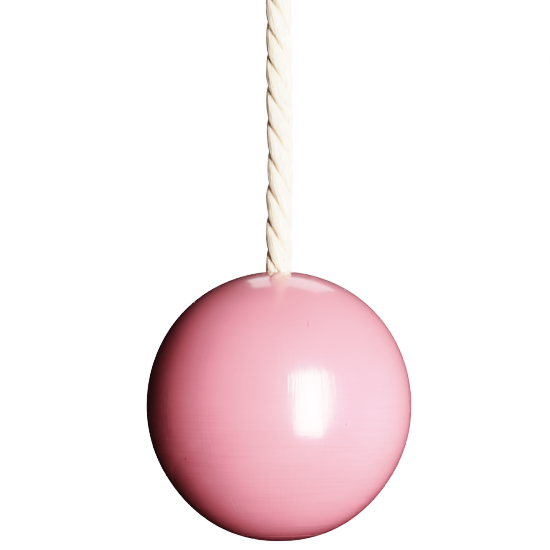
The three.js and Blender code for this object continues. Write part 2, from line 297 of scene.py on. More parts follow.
class Material:
    """A Principled material that nodes are added to."""

    def __init__(self, name, **values):
        self.data = bpy.data.materials.new(name)
        self.data.use_nodes = True
        self.tree = self.data.node_tree
        self.shader = self.tree.nodes["Principled BSDF"]
        for socket, value in values.items():
            self.shader.inputs[socket.replace("_", " ")].default_value = value

    def node(self, kind, inputs=(), output=0, **settings):
        """A new node. inputs maps a socket's name or number to a value, or to another node's output."""
        made = self.tree.nodes.new("ShaderNode" + kind)
        for key, value in settings.items():
            setattr(made, key, value)
        for key, value in dict(inputs).items():
            if isinstance(value, bpy.types.NodeSocket):
                self.tree.links.new(value, made.inputs[key])
            else:
                made.inputs[key].default_value = value
        return made.outputs[output]

    def place(self, scale=(1, 1, 1)):
        """The point on the surface in the piece's own space, in metres, times the scale."""
        here = self.node("TexCoord", output="Object")
        return self.node("Mapping", {"Vector": here, "Scale": scale})

    def value(self, name, output, scale=(1, 1, 1)):
        """A value that the mesh holds."""
        held = self.node("Attribute", output=output, attribute_name=name)
        return self.node("Mapping", {"Vector": held, "Scale": scale}) if output == "Vector" else held

    def noise(self, place, scale, detail=2.0, roughness=0.5):
        settings = {"Vector": place, "Scale": scale, "Detail": detail, "Roughness": roughness}
        return self.node("TexNoise", settings, output="Fac")

    def spread(self, value, low, high, to_low, to_high, smooth=False):
        """The value, mapped from low..high to to_low..to_high and held there."""
        inputs = {"Value": value, "From Min": low, "From Max": high, "To Min": to_low, "To Max": to_high}
        return self.node("MapRange", inputs, interpolation_type="SMOOTHSTEP" if smooth else "LINEAR")

    def mixed(self, share, first, second):
        """A colour between two."""
        inputs = {"Factor": share, 6: first, 7: second}
        return self.node("Mix", inputs, output=2, data_type="RGBA")

    def math(self, operation, *values):
        return self.node("Math", dict(enumerate(values)), operation=operation)

    def bump(self, height, distance, strength=1.0, under=None):
        """The surface's normal with bumps that high, in metres, on top of another normal if one is given."""
        inputs = {"Height": height, "Distance": distance, "Strength": strength}
        if under is not None:
            inputs["Normal"] = under
        return self.node("Bump", inputs)

    def link(self, socket, output):
        self.tree.links.new(output, self.shader.inputs[socket])


def metal(name, color, roughness, spread, grain):
    """Plated steel: a slight orange-peel from the casting, hair scratches and a duller bloom in patches."""
    made = Material(name, Metallic=1.0)
    patches = made.noise(made.place(), 160, 3)
    scratches = made.noise(made.place((1, 1, 0.12)), 9000, 2)
    dull = made.spread(patches, 0.35, 0.7, roughness - spread, roughness + spread)
    hairs = made.spread(scratches, 0.62, 0.75, 0, 0.12)
    made.link("Roughness", made.math("ADD", dull, hairs))
    darker = tuple(part * 0.72 for part in color)
    made.link("Base Color", made.mixed(made.spread(patches, 0.45, 0.72, 0, 1), (*color, 1), (*darker, 1)))
    peel = made.bump(made.noise(made.place(), grain, 2), 1.2e-5, 0.6)
    made.link("Normal", made.bump(scratches, 1.5e-6, 0.4, peel))
    return made.data


def cotton():
    """Soft cotton: fibres along each yarn, with painted shade, warmer and darker, in the hollows between the
    yarns and strands and in fine streaks between the fibres.
    """
    made = Material("cotton", Roughness=0.95, Sheen_Weight=0.3, Sheen_Roughness=0.6, Subsurface_Weight=0.8,
                    Subsurface_Radius=(1, 0.72, 0.5), Subsurface_Scale=2 * MM)
    made.shader.subsurface_method = "BURLEY"
    along = made.value("fibre", "Vector", (1, 1, 0.09))
    fibres = made.noise(along, 4200, 3, 0.65)
    tufts = made.noise(made.value("fibre", "Vector", (1, 1, 0.3)), 900, 2)
    valley = made.value("valley", "Fac")
    pale = made.mixed(made.spread(tufts, 0.35, 0.7, 0, 1), (0.88, 0.81, 0.67, 1), (0.66, 0.56, 0.42, 1))
    # painted shade: the cotton goes warmer and darker the deeper a point lies in a hollow between strands or
    # yarns
    shaded = made.mixed(made.spread(valley, 0.02, 0.5, 0, 0.85), pale, (0.64, 0.49, 0.37, 1))
    # painted shade between the fibres, over their own uneven tone: darker streaks where the fibre bump is low
    gap_shade = made.spread(fibres, 0.36, 0.6, 0.75, 0)
    made.link("Base Color", made.mixed(gap_shade, shaded, (0.46, 0.35, 0.24, 1)))
    soft = made.bump(tufts, 1.5e-4, 0.5)
    made.link("Normal", made.bump(fibres, 1.3e-4, 0.9, soft))
    return made.data


def twine(name, color):
    """Waxed flax: a slight gloss over the plies."""
    made = Material(name, Roughness=0.55, Coat_Weight=0.12, Coat_Roughness=0.35)
    along = made.value("fibre", "Vector", (1, 1, 0.12))
    fibres = made.noise(along, 6000, 2, 0.6)
    darker = tuple(part * 0.6 for part in color)
    made.link("Base Color", made.mixed(made.spread(fibres, 0.35, 0.65, 0, 1), (*darker, 1), (*color, 1)))
    made.link("Normal", made.bump(fibres, 5e-5, 0.7))
    return made.data


def marked_point(made, place, radius):
    """1 at a place on the surface, fading to 0 at the radius."""
    here = made.node("TexCoord", output="Object")
    away = made.node("VectorMath", {0: here, 1: place}, output="Value", operation="DISTANCE")
    return made.spread(away, radius, radius * 0.25, 0, 1, smooth=True)


def on_ball(across, up):
    """A point on the front of the ball, across and up from its middle."""
    depth = math.sqrt(BALL_RADIUS**2 - across**2 - up**2)
    return (across, -depth, float(BALL_CENTRE[2]) + up)


def enamel():
    """Pink gloss enamel over turned wood. Rings from the lathe show through it, most of all below, with brush
    marks up and down on the sides, a hair crack and a few specks of dust."""
    made = Material("enamel", Roughness=0.36, Coat_Weight=1.0, Coat_Roughness=0.12, Coat_IOR=1.5)
    here = made.node("TexCoord", output="Object")
    centred = made.node("VectorMath", {0: here, 1: (0, 0, -BALL_CENTRE[2])}, operation="ADD")
    rings_place = made.node("Mapping", {"Vector": centred, "Scale": (0.03, 0.03, 1)})
    rings = made.noise(rings_place, 1500, 2, 0.55)
    fine_rings = made.noise(rings_place, 4200, 1)
    level = made.node("VectorMath", {0: centred, 1: (1, 1, 0)}, operation="MULTIPLY")
    heading = made.node("VectorMath", {0: level}, operation="NORMALIZE")
    high = made.node("SeparateXYZ", {"Vector": centred}, output=2)
    rise = made.node("CombineXYZ", {"Z": made.math("MULTIPLY", high, 1.4)})
    strokes_place = made.node("VectorMath", {0: heading, 1: rise}, operation="ADD")
    worn = made.spread(made.noise(centred, 34, 2), 0.42, 0.6, 0.35, 1, smooth=True)
    side_worn = made.math("MULTIPLY", worn, made.spread(high, 0.03, 0.012, 0, 1, smooth=True))
    strokes = made.math("MULTIPLY", made.noise(strokes_place, 52, 3, 0.6), side_worn)
    below = made.spread(high, 0.012, -0.012, 0.2, 1, smooth=True)
    flow = made.noise(centred, 55, 2)
    all_rings = made.math("ADD", rings, made.math("MULTIPLY", fine_rings, 0.35))
    ring_height = made.math("MULTIPLY", all_rings, below)
    lumps = made.bump(flow, 4e-5, 0.6)
    turned_rings = made.bump(ring_height, 4.5e-5, 1.0, lumps)
    brushed = made.bump(strokes, 1e-4, 1.0, turned_rings)
    specks = made.node("TexVoronoi", {"Vector": centred, "Scale": 110}, output="Distance")
    dust = made.spread(specks, 0.05, 0.02, 0, 1, smooth=True)
    nibs = ((19.3 * MM, -3.9 * MM, 0.45 * MM), (-27.4 * MM, -14.5 * MM, 0.4 * MM))  # across, up and radius
    nib = made.math("MAXIMUM", *(marked_point(made, on_ball(x, up), radius) for x, up, radius in nibs))
    crack_at = on_ball(8.4 * MM, 24.6 * MM)
    off_crack = made.node("VectorMath", {0: here, 1: tuple(-part for part in crack_at)}, operation="ADD")
    thin = made.node("VectorMath", {0: off_crack, 1: (1, 0.15, 0.08)}, operation="MULTIPLY")
    crack_away = made.node("VectorMath", {0: thin}, output="Value", operation="LENGTH")
    crack = made.spread(crack_away, 0.17 * MM, 0.08 * MM, 0, 1, smooth=True)
    raised = made.math("SUBTRACT", made.math("ADD", nib, made.math("MULTIPLY", dust, 0.25)), crack)
    finished = made.bump(raised, 1.1e-4, 1.0, brushed)
    made.link("Normal", finished)
    made.link("Coat Normal", finished)
    pink, deep = (0.64, 0.212, 0.259, 1), (0.56, 0.172, 0.212, 1)
    thin_paint = made.math("MULTIPLY", made.spread(rings, 0.42, 0.68, 0, 0.4), below)
    coloured = made.mixed(made.math("ADD", thin_paint, made.spread(flow, 0.4, 0.7, 0, 0.3)), pink, deep)
    flaws = made.math("MAXIMUM", made.math("MULTIPLY", nib, 0.8), made.math("MULTIPLY", crack, 0.6))
    made.link("Base Color", made.mixed(flaws, coloured, (0.25, 0.05, 0.07, 1)))
    return made.data


def bare_wood():
    """Beech inside the bore and the pocket: grain down the ball, and marks of the drill."""
    made = Material("bare_wood", Roughness=0.62)
    grain = made.noise(made.place((1, 1, 0.06)), 1400, 4, 0.6)
    cuts = made.noise(made.place((0.1, 0.1, 1)), 2600, 1)
    dark, light = (0.36, 0.20, 0.10, 1), (0.60, 0.40, 0.23, 1)
    made.link("Base Color", made.mixed(made.spread(grain, 0.3, 0.7, 0, 1), dark, light))
    made.link("Normal", made.bump(cuts, 4e-5, 0.6, made.bump(grain, 3e-5, 0.5)))
    return made.data


NICKEL = metal("nickel", (0.74, 0.71, 0.66), 0.27, 0.08, 900)
ZINC = metal("zinc", (0.62, 0.65, 0.68), 0.34, 0.08, 1600)
COTTON = cotton()
SEIZING_TWINE = twine("seizing_twine", (0.62, 0.50, 0.32))
WHIPPING_TWINE = twine("whipping_twine", (0.70, 0.60, 0.43))
ENAMEL = enamel()
WOOD = bare_wood()


# ---- Rope ----

LAY = 29.5 * MM  # one whole turn of a strand
STRAND_OUT = 1.85 * MM  # half a strand's thickness, out from the rope's middle
STRAND_WIDE = 2.65 * MM  # and half its width, round the rope
YARN_POINTS = 4  # across one yarn
CROWN = 17 * MM  # the eye's half width, at the rope's middle
EYE_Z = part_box("rope_eye")[1].z - CROWN - ROPE_RADIUS  # centre of the eye's crown
TUCK = 10 * MM  # how far into the ball's bore the free rope starts
BOW, BOW_Z, BOW_REACH = 0.4 * MM, -212 * MM, 16 * MM  # the standing part's slight bend to the right
GROOVE_Z = -209.2 * MM  # where a hollow between two strands faces -X

# The rope's middle as (x, z), z counted from EYE_Z: up the standing part, over the crown and down the tail.
EYE_ROUTE = [
    (0, -74), (0, -66), (0, -58), (0, -50), (0, -43), (0, -38), (-0.7, -32), (-3, -26),
    (-8.5, -19), (-14, -12), (-16.3, -6), (-17, 0), (-15.7, 6.5), (-12, 12), (-6.5, 15.7), (0, 17),
    (6.5, 15.7), (12, 12), (15.7, 6.5), (17, 0), (16.6, -6), (15.5, -12), (13.1, -19), (10.7, -26),
    (9.6, -32), (9.2, -38), (9.2, -43), (9.2, -50), (9.2, -60), (9.2, -70),
]


def rope_route():
    """From inside the bore of the ball straight up, round the eye and down to the tail's end."""
    foot = BALL_TOP - TUCK
    first = EYE_Z + EYE_ROUTE[0][1] * MM
    straight = [(0, 0, z) for z in np.linspace(foot, first, 12, endpoint=False)]
    eye = [(x * MM, 0, EYE_Z + z * MM) for x, z in EYE_ROUTE]
    route = np.array(straight + eye)
    in_line = route[:, 0] == 0
    route[in_line, 0] += BOW * np.exp(-(((route[in_line, 2] - BOW_Z) / BOW_REACH) ** 2))
    return route


def lay_rope(shell, line, step, start_angle, rng, yarns=18, slubs=()):
    """Adds three strands laid left-handed round a line. Each strand's yarns turn the other way, so that they
    lie along the rope on its outside. slubs are (distance along, strand, thickness to add)."""
    line, along = evenly(line, step)
    across, out, tangents = frames_along(line, (1, 0, 0))
    centre_reach = ROPE_RADIUS - STRAND_OUT
    sides = yarns * YARN_POINTS
    around = np.linspace(0, 2 * np.pi, sides, endpoint=False)
    within = (np.arange(sides) % YARN_POINTS) / YARN_POINTS  # 0 at the valley between two yarns
    crest = np.sqrt(1 - 0.9 * (2 * within - 1) ** 2) - 1
    unlay = 0.8 * 2 * np.pi / LAY * ROPE_RADIUS / STRAND_WIDE
    drift = wander(along, 31 * MM, rng) * 0.06
    for strand in range(3):
        turn = start_angle + strand * 2 * np.pi / 3 - 2 * np.pi * along / LAY + drift
        thick = 1 + 0.03 * wander(along, 7 * MM, rng) + 0.02 * wander(along, 2.6 * MM, rng)
        for place, which, more in slubs:
            if which == strand:
                thick = thick + more * np.exp(-(((along - place) / (2.2 * MM)) ** 2))
        radial = np.cos(turn)[:, None] * across + np.sin(turn)[:, None] * out
        sideways = -np.sin(turn)[:, None] * across + np.cos(turn)[:, None] * out
        middle = line + radial * (centre_reach * (1 + 0.02 * wander(along, 11 * MM, rng)))[:, None]
        bend = np.stack([wander(along, 6 * MM, rng) for _ in range(yarns)], 1).repeat(YARN_POINTS, 1)
        swell = np.stack([wander(along, 3.4 * MM, rng) for _ in range(yarns)], 1).repeat(YARN_POINTS, 1)
        angle = around[None] + (unlay * along)[:, None] + 0.1 * bend
        relief = 0.2 * MM * (1 + 0.45 * swell) * crest[None]
        lift = 0.05 * MM * swell
        radial_half = (STRAND_OUT * thick)[:, None] + relief + lift
        wide_half = (STRAND_WIDE * thick)[:, None] + relief + lift
        points = (
            middle[:, None]
            + (radial_half * np.cos(angle))[..., None] * radial[:, None]
            + (wide_half * np.sin(angle))[..., None] * sideways[:, None]
        )
        # painted shade: how deep a point lies in the hollows between the strands and between the yarns, which
        # darkens the cotton there
        outward = (1 - np.cos(angle)) / 2
        valley = np.clip(outward**2 * 1.4 + (-crest[None]) * 0.55, 0, 1)
        straight = np.stack([
            np.cos(around)[None].repeat(len(along), 0) * STRAND_OUT + strand * 9 * MM,
            np.sin(around)[None].repeat(len(along), 0) * STRAND_OUT,
            along[:, None].repeat(sides, 1),
        ], 2)
        shell.grid(points, fibre=straight, valley=valley)
        for end, heading in ((0, -1), (-1, 1)):
            end_rings(shell, points[end], middle[end], tangents[end] * heading, straight[end], rng)


def end_rings(shell, ring, middle, heading, straight, rng):
    """Closes a strand's cut end with a rough dome of fibre ends."""
    steps = [(1, 0), (0.86, 0.22), (0.6, 0.4), (0.3, 0.48)]
    rings, homes = [], []
    for share, rise in steps:
        ragged = rng.uniform(-0.09, 0.09, len(ring)) * (rise > 0)
        height = ((rise + ragged) * MM)[:, None] * heading
        rings.append(middle + (ring - middle) * share + height)
        homes.append(straight * (share, share, 1))
    rings, homes = np.array(rings), np.array(homes)
    flip = slice(None, None, 1 if heading_is_forward(rings, heading) else -1)
    # painted shade on the cut ends: a middle amount over the dome, more at its tip
    shaded = np.full(rings.shape[:2], 0.35)
    shell.grid(rings[:, flip], fibre=homes[:, flip], valley=shaded)
    tip = rings[-1].mean(0) + heading * 0.03 * MM
    fan = np.vstack([homes[-1][flip], homes[-1].mean(0)])
    shell.cap(rings[-1][flip], tip, fibre=fan, valley=np.full(len(fan), 0.5))


def heading_is_forward(rings, heading):
    """True if the ring's points run so that a grid from them to the next ring faces outwards."""
    first, second = rings[0][0], rings[0][1]
    normal = np.cross(second - first, rings[1][0] - first)
    return np.dot(normal, heading) > 0 or np.dot(normal, first - rings[0].mean(0)) > 0


def strand_angle(z):
    """Where the first strand lies round the rope at a height."""
    return math.radians(240) - 2 * math.pi * (z - GROOVE_Z) / LAY


def add_rope():
    """The free rope with its eye, one length from inside the bore to the cut tail."""
    line = smooth_line(rope_route())
    shell = Shell()
    rng = np.random.default_rng(11)
    foot = BALL_TOP - TUCK
    slub_at = -223 * MM - foot
    slubs = [(slub_at, 1, 0.13), (slub_at - 21 * MM, 0, 0.06), (61 * MM, 2, 0.07), (115 * MM, 0, 0.08)]
    lay_rope(shell, line, 0.68 * MM, strand_angle(foot), rng, slubs=slubs)
    rope = shell.make("rope", COTTON, merge=False)
    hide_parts("rope_line", "rope_eye")
    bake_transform(rope)
    return rope, line


def knot_route():
    """An overhand knot: from the bore down the outside, through the knot and out below. The knot itself is
    the curve that goes twice round the middle while it turns three times about itself."""
    top, bottom = KNOT_HIGH.z, KNOT_LOW.z
    middle = (top + bottom) / 2
    wide, narrow, tall = 3.9 * MM, 2.5 * MM, 3.9 * MM
    core = [(0, 0, z) for z in np.linspace(BALL_TOP - TUCK, top + 1 * MM, 7)]
    turns = np.linspace(2 * np.pi - 0.35, 0.35, 24)
    reach = wide + narrow * np.cos(3 * turns)
    heights = middle + tall * np.sin(3 * turns)
    knot = np.stack([reach * np.cos(2 * turns), reach * np.sin(2 * turns), heights], 1)
    stub = [(0, 0, bottom + 0.2 * MM), (0, 0, bottom - 3 * MM), (0, 0, STUB_END + 0.3 * MM)]
    lead_in = [(2.6 * MM, -1.5 * MM, top - 2.6 * MM)]
    lead_out = [(2.6 * MM, 1.5 * MM, bottom + 2.6 * MM)]
    return np.array(core + lead_in + knot.tolist() + lead_out + stub)


def add_knot():
    """The rope inside the ball: through the bore, the knot and the short end below it."""
    line = smooth_line(knot_route())
    shell = Shell()
    lay_rope(shell, line, 0.7 * MM, -strand_angle(BALL_TOP - TUCK), np.random.default_rng(12), yarns=12)
    knot = shell.make("rope_knot", COTTON, merge=False)
    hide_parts("rope_core", "stopper_knot", "rope_stub")
    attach(knot, "line")


# ---- Twine ----

def wind_twine(shell, line, radius, step, rng, sides):
    """Adds a thin twisted line of three plies, with that many sides to a ply."""
    plies = 3
    line, along = evenly(line, step)
    across, out, _ = frames_along(line, perpendicular(line[1] - line[0]))
    angles = np.linspace(0, 2 * np.pi, sides * plies, endpoint=False)
    twist = 2 * np.pi * along / (radius * 7.5)
    angle = angles[None] + twist[:, None]
    lobes = np.abs(np.sin(plies * angles / 2))
    reach = radius * (0.8 + 0.2 * lobes[None]) * (1 + 0.03 * wander(along, radius * 4, rng))[:, None]
    points = line[:, None] + (reach * np.cos(angle))[..., None] * across[:, None]
    points = points + (reach * np.sin(angle))[..., None] * out[:, None]
    home = np.stack([
        radius * np.cos(angles)[None].repeat(len(along), 0),
        radius * np.sin(angles)[None].repeat(len(along), 0),
        along[:, None].repeat(len(angles), 1),
    ], 2)
    shell.grid(points, fibre=home)
    for end, order in ((0, -1), (-1, 1)):
        ring, fan = points[end][::order], home[end][::order]
        shell.cap(ring, ring.mean(0), fibre=np.vstack([fan, fan.mean(0)]))


def perpendicular(direction):
    """Any unit vector across a direction."""
    least = np.eye(3)[np.argmin(np.abs(direction))]
    across = np.cross(direction, least)
    return across / np.linalg.norm(across)


def slot_round(distance, reach, spacing):
    """The point (x, y) that far round a slot-shaped ring about two centres, 0 and spacing on the X axis."""
    half = math.pi * reach
    distance = distance % (2 * half + 2 * spacing)
    if distance < spacing:
        return distance, -reach
    if distance < spacing + half:
        turn = (distance - spacing) / reach - math.pi / 2
        return spacing + reach * math.cos(turn), reach * math.sin(turn)
    if distance < 2 * spacing + half:
        return 2 * spacing + half - distance, reach
    turn = (distance - 2 * spacing - half) / reach + math.pi / 2
    return reach * math.cos(turn), reach * math.sin(turn)


def add_seizing():
    """Round turns about both legs of the eye, drawn tight by two frapping turns between the legs."""
    radius = 0.74 * MM
    spacing = TAIL_X
    reach = ROPE_RADIUS + radius - 0.06 * MM
    round_once = 2 * math.pi * reach + 2 * spacing
    turns = int((SEIZING_HIGH.z - SEIZING_LOW.z) / (2 * radius))
    bottom, pitch = SEIZING_LOW.z + radius, 2.02 * radius
    points = []
    for i in range(turns * 48 - 30):
        done = i / 48
        x, y = slot_round(done * round_once, reach, spacing)
        pinch = math.exp(-(((x - spacing / 2) / (2.4 * MM)) ** 2)) * 0.5 * MM
        points.append((x, y - math.copysign(pinch, y), bottom + pitch * done))
    shell = Shell()
    rng = np.random.default_rng(21)
    wind_twine(shell, smooth_line(points, 4), radius, 0.3 * MM, rng, sides=6)
    half_height = pitch * (turns - 1) / 2
    for x in (spacing / 2 - radius, spacing / 2 + radius):
        loop = []
        for turn in np.linspace(-0.4, 2 * math.pi - 0.7, 60):
            lean = (x - spacing / 2) * 0.4 * math.cos(turn * 0.5)
            up, along_y = math.cos(turn), math.sin(turn)
            depth = reach + 1.5 * radius - 0.5 * MM
            rise = math.copysign(abs(up) ** 0.5, up) * (half_height + radius * 1.6)
            y = math.copysign(abs(along_y) ** 0.5, along_y) * depth
            loop.append((x + lean, y, bottom + half_height + rise))
        wind_twine(shell, smooth_line(loop, 6), radius, 0.3 * MM, rng, sides=6)
    made = shell.make("seizing", SEIZING_TWINE, merge=False)
    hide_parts("eye_seizing")
    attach(made, "eye")
    return made


def add_whipping(name, node, body, seed):
    """Close turns of fine twine round a cut end, with the last one tucked under."""
    low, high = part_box(node)
    radius = 0.23 * MM
    centre_x = (low.x + high.x) / 2
    reach = ROPE_RADIUS + 0.12 * MM
    turns = (high.z - low.z - 2 * radius) / (2.03 * radius)
    rng = np.random.default_rng(seed)
    count = int(turns * 32)
    angles = np.linspace(0, 2 * math.pi * turns, count)
    heights = np.linspace(low.z + radius, high.z - radius, count)
    tuck = np.clip((np.arange(count) - count + 12) / 12, 0, 1) + np.clip((12 - np.arange(count)) / 12, 0, 1)
    out = reach - tuck * 0.5 * MM
    line = np.stack([centre_x + out * np.cos(angles), out * np.sin(angles), heights], 1)
    shell = Shell()
    wind_twine(shell, line, radius, 0.32 * MM, rng, sides=4)
    made = shell.make(name, WHIPPING_TWINE, merge=False)
    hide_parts(node)
    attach(made, body)
    return made


# ---- Ball ----

def ball_reach(elevation):
    """From the ball's centre to its surface, at an elevation in degrees."""
    def eased(value, low, high):
        t = min(max((value - low) / (high - low), 0), 1)
        return t * t * (3 - 2 * t)
    if elevation > 0:
        return BALL_RADIUS + 0.65 * MM * eased(elevation, 0, 60)
    return BALL_RADIUS + 0.85 * MM * eased(-elevation, 30, 72)


def ball_point(elevation):
    """(radius, z) on the outside of the ball."""
    angle = math.radians(elevation)
    reach = ball_reach(elevation)
    return reach * math.cos(angle), BALL_CENTRE[2] + reach * math.sin(angle)


def add_ball():
    """The turned ball: bore with an eased mouth, skin, rebate for the plug, and the knot's pocket."""
    bore = 4.6 * MM
    seat = PLUG_RADIUS + GAP
    pocket = 12.5 * MM
    roof = BALL_CENTRE[2] - 6 * MM
    ledge = PLUG_TOP + GAP
    mouth = 90 - math.degrees(math.asin((bore + 0.5 * MM) / ball_reach(90)))
    foot = -90 + math.degrees(math.asin((seat + 0.12 * MM) / ball_reach(-80)))
    skin = [ball_point(elevation) for elevation in np.linspace(mouth, foot, 200)]
    mouth_z = skin[0][1]
    lip = [(bore + 0.5 * MM * (1 - math.cos(t)), mouth_z - 0.5 * MM * (1 - math.sin(t)) + 0.02 * MM)
           for t in np.linspace(0, math.pi / 2 - 0.1, 7)]
    edge = skin[-1]
    inside = rounded([
        (seat + 0.02 * MM, edge[1] + 0.14 * MM), (seat, ledge), (pocket, ledge), (pocket, roof), (bore, roof),
        (bore, lip[0][1] - 1 * MM),
    ], 0.35 * MM)
    profile = lip + skin + inside
    shell = Shell()
    turned(shell, profile + profile[:1], 320)
    ball = shell.make("painted_ball", ENAMEL)
    ball.data.materials.append(WOOD)
    paint_inside(ball.data, lambda at: (at - Vector(BALL_CENTRE)).length < BALL_RADIUS - 0.6 * MM)
    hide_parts("ball")
    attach(ball, "ball")


def paint_inside(mesh, is_bare):
    """Gives the second material to the faces that were never painted."""
    for face in mesh.polygons:
        if is_bare(face.center):
            face.material_index = 1


def add_plug():
    """The plug that closes the pocket, painted with the ball, with its small turned flat."""
    rim = PLUG_RADIUS + 0.2 * MM
    flat = math.sqrt(ball_reach(-90) ** 2 - (BALL_CENTRE[2] - BALL_FOOT) ** 2)
    outer = -90 + math.degrees(math.asin((rim - 0.1 * MM) / ball_reach(-80)))
    inner = -90 + math.degrees(math.asin((flat + 0.8 * MM) / ball_reach(-90)))
    skin = [ball_point(elevation) for elevation in np.linspace(outer, inner, 28)]
    foot = [(radius, BALL_FOOT) for radius in np.linspace(flat - 0.8 * MM, 0, 8)]
    bend = rounded([skin[-1], (flat, BALL_FOOT), foot[0]], 2 * MM, 8)[1:-1]
    side = rounded([(0, PLUG_TOP), (rim - 0.02 * MM, PLUG_TOP), (rim, skin[0][1] + 0.12 * MM)], 0.5 * MM)
    shell = Shell()
    turned(shell, side + skin + bend + foot, 200)
    plug = shell.make("plug", ENAMEL)
    plug.data.materials.append(WOOD)
    paint_inside(plug.data, lambda at: at.z > skin[0][1] + 0.4 * MM)
    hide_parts("ball_plug")
    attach(plug, "ball")


# ---- Snap, swivel and thimble ----

def add_snap():
    """The hook and barrel, cast in one: wire-round hook, barrel and base with a web between them."""
    wire = 2.7 * MM
    crown_radius = 7.5 * MM + wire
    barrel_x, barrel_radius, base_radius = BOLT_X, 4.9 * MM, 5.6 * MM
    barrel_top, floor, base_bottom = -23 * MM, -44 * MM, -55 * MM
    tip_z = -15.6 * MM
    spine = [(0, -48), (-2.6, -41.5), (-5.9, -34), (-8.7, -26), (-9.9, -18)]
    line = [(x * MM, 0, z * MM) for x, z in spine]
    for angle in np.radians(np.linspace(180, -50, 14)):
        line.append((crown_radius * math.cos(angle), 0, -7.5 * MM + crown_radius * math.sin(angle)))
    line, _ = evenly(smooth_line(line), 0.4 * MM)
    shell = Shell()
    swept(shell, circle(wire, 40), line)
    barrel = rounded([
        (0, floor - 3 * MM), (barrel_radius, floor - 3 * MM), (barrel_radius, barrel_top), (0, barrel_top),
    ], 0.9 * MM)
    turned(shell, barrel, 72, barrel_x)
    base_top = -41.8 * MM
    base = rounded([
        (0, base_bottom), (base_radius, base_bottom), (base_radius, -45 * MM),
        (base_radius - 3 * MM, base_top), (0, base_top),
    ], 1.0 * MM)
    turned(shell, base, 72)
    half = 3.2 * MM
    web_edge = barrel_x + barrel_radius - 0.4 * MM
    web = [
        (0, base_bottom + 2 * MM), (base_radius - 0.6 * MM, base_bottom + 2 * MM),
        (web_edge, floor - 3.4 * MM), (web_edge, floor + 1 * MM), (0, floor + 1 * MM),
    ]
    plate(shell, web, -half, half)

    guide, chamber, slot, window, shank, tip = (Shell() for _ in range(6))
    rod(guide, 2.5 * MM, -27 * MM, barrel_top + 1 * MM, barrel_x)
    rod(chamber, 3.3 * MM, floor, -26 * MM, barrel_x)
    slot_half, slot_top, slot_bottom = 1.55 * MM, -29.6 * MM, -36.6 * MM
    rounded_slot(slot, slot_half, slot_bottom, slot_top, barrel_x, barrel_x + 8 * MM)
    block(window, (-3.8 * MM, -8 * MM, -50.6 * MM), (3.8 * MM, 8 * MM, -47.2 * MM))
    rod(shank, 2.5 * MM, base_bottom - 1 * MM, -49 * MM)
    block(tip, (0, -5 * MM, -22.9 * MM), (16 * MM, 5 * MM, tip_z))
    cast = fused(shell, "snap", NICKEL, 0.22 * MM, 9, cuts=[tip, guide, chamber, slot, window, shank])
    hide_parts("snap_body")
    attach(cast, "snap")
    return cast


def plate(shell, outline, low_y, high_y):
    """Adds a flat plate in the XZ plane, of an outline that a fan from its middle can fill."""
    ring = np.array(outline)
    capped(shell, np.array([[[x, y, z] for x, z in ring] for y in (low_y, high_y)]))


def rounded_slot(shell, half, bottom, top, near_x, far_x):
    """Adds the solid of a slot with round ends, that runs along X."""
    angles = np.linspace(0, np.pi, 17)
    upper = [(half * math.cos(t), top + half * math.sin(t)) for t in angles]
    lower = [(-half * math.cos(t), bottom - half * math.sin(t)) for t in angles]
    ring = np.array(upper + lower)
    capped(shell, np.array([[[x, y, z] for y, z in ring] for x in (near_x, far_x)]))


def add_bolt():
    """The bolt with its domed tip and collar."""
    low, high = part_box("snap_bolt")
    collar, shaft, collar_top = (high.x - low.x) / 2, 2.2 * MM, -27.3 * MM
    profile = rounded([
        (0, low.z), (collar, low.z), (collar, collar_top), (shaft, collar_top), (shaft, high.z), (0, high.z),
    ], 0.55 * MM)
    shell = Shell()
    turned(shell, profile, 72, BOLT_X)
    bolt = shell.make("bolt", NICKEL)
    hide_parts("snap_bolt")
    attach(bolt, "bolt")
    return bolt


def add_stud():
    """The stud on the bolt, with a dished head whose rim is milled for the thumb."""
    low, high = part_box("thumb_stud")
    z = (high.z + low.z) / 2
    head, shank = high.z - z, 1.25 * MM
    neck = high.x - 3 * MM
    profile = rounded([
        (0, low.x), (shank, low.x), (shank, neck), (head, neck), (head, high.x), (head - 1 * MM, high.x),
        (0, high.x - 0.35 * MM),
    ], 0.35 * MM)
    segments = 144
    radius, along = np.array(profile).T
    angles = np.linspace(0, 2 * np.pi, segments, endpoint=False)
    milled = 1 - 0.025 * (np.cos(angles * 24) > 0)
    on_rim = (radius > head * 0.93)[:, None]
    reach = radius[:, None] * np.where(on_rim, milled[None], 1)
    along = along[:, None].repeat(segments, 1)
    points = np.stack([along, reach * np.cos(angles), z + reach * np.sin(angles)], 2)
    shell = Shell()
    shell.grid(points)
    stud = shell.make("stud", NICKEL)
    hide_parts("thumb_stud")
    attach(stud, "bolt")
    return stud


def add_spring():
    """A coil spring with closed end turns."""
    wire = 0.25 * MM
    reach = (SPRING_HIGH.x - SPRING_LOW.x) / 2 - wire
    turns, closed = 7.5, 0.9
    t = np.linspace(0, 1, 700)
    angles = 2 * np.pi * turns * t
    span = SPRING_HIGH.z - SPRING_LOW.z - 2 * wire
    end = closed * 2 * wire / span
    open_share = np.clip((t * turns - closed) / (turns - 2 * closed), 0, 1)
    low_share = np.clip(t * turns / closed, 0, 1) * end
    high_share = np.clip((t * turns - turns + closed) / closed, 0, 1) * end
    heights = SPRING_LOW.z + wire + span * (low_share + high_share + open_share * (1 - 2 * end))
    line = np.stack([BOLT_X + reach * np.cos(angles), reach * np.sin(angles), heights], 1)
    shell = Shell()
    swept(shell, circle(wire, 14), line)
    spring = shell.make("spring", ZINC)
    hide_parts("bolt_spring")
    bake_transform(spring)
    return spring


